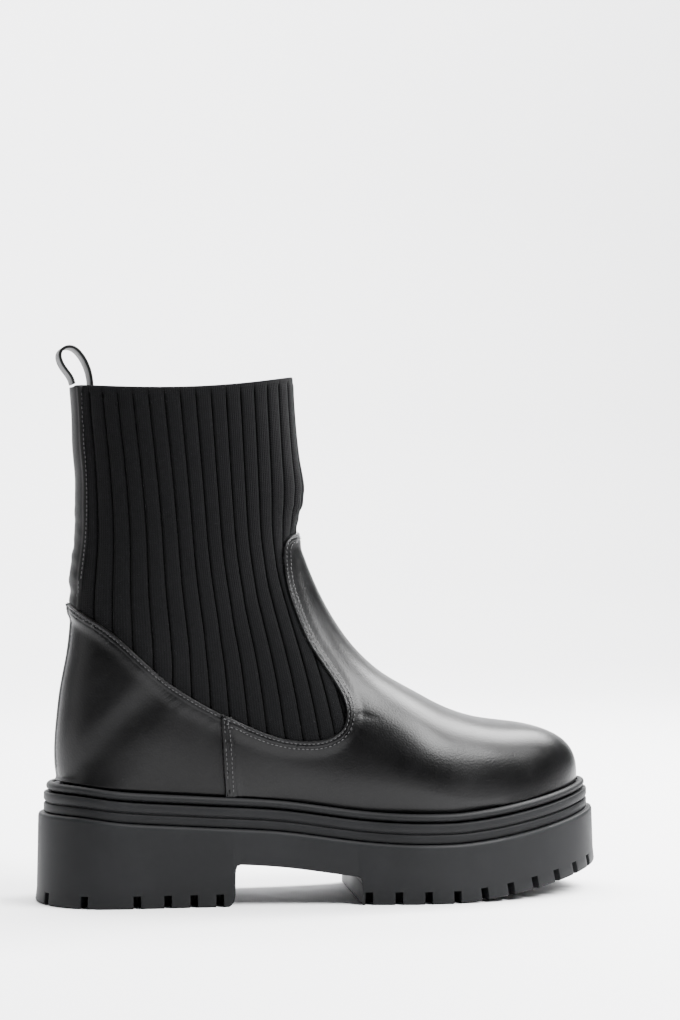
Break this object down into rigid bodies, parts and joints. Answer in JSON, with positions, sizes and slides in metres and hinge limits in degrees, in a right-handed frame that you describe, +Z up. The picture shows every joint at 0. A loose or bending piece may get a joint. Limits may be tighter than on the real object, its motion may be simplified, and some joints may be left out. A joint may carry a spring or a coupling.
{
  "type": "knit chelsea boot",
  "caption": "Right-foot ankle boot with a ribbed knit shaft, leather vamp and counter, back pull loop and a lugged platform sole with a stepped edge.",
  "frame": {"origin": "middle of the footprint of the whole boot, on the floor that it stands on", "axes": "+X towards the toe, +Z up, -Y towards the outer side of the foot"},
  "size_m": [0.288, 0.1072, 0.274],
  "materials": {
    "outsole_rubber": "matt dark grey rubber",
    "midsole_rubber": "matt dark grey rubber",
    "welt_rubber": "matt dark grey rubber",
    "insole_lining": "black cloth",
    "upper_lining": "black cloth",
    "vamp_leather": "smooth black leather with a soft sheen",
    "counter_leather": "smooth black leather with a soft sheen",
    "rib_knit": "black rib knit",
    "stay_leather": "smooth black leather with a soft sheen",
    "loop_leather": "smooth black leather"
  },
  "bodies": {
    "root": {"outsole": "outsole_rubber", "midsole": "midsole_rubber", "welt": "welt_rubber", "insole": "insole_lining", "upper": "upper_lining", "vamp": "vamp_leather", "counter": "counter_leather", "knit_shaft": "rib_knit", "back_stay": "stay_leather", "pull_loop": "loop_leather"}
  },
  "joints": []
}
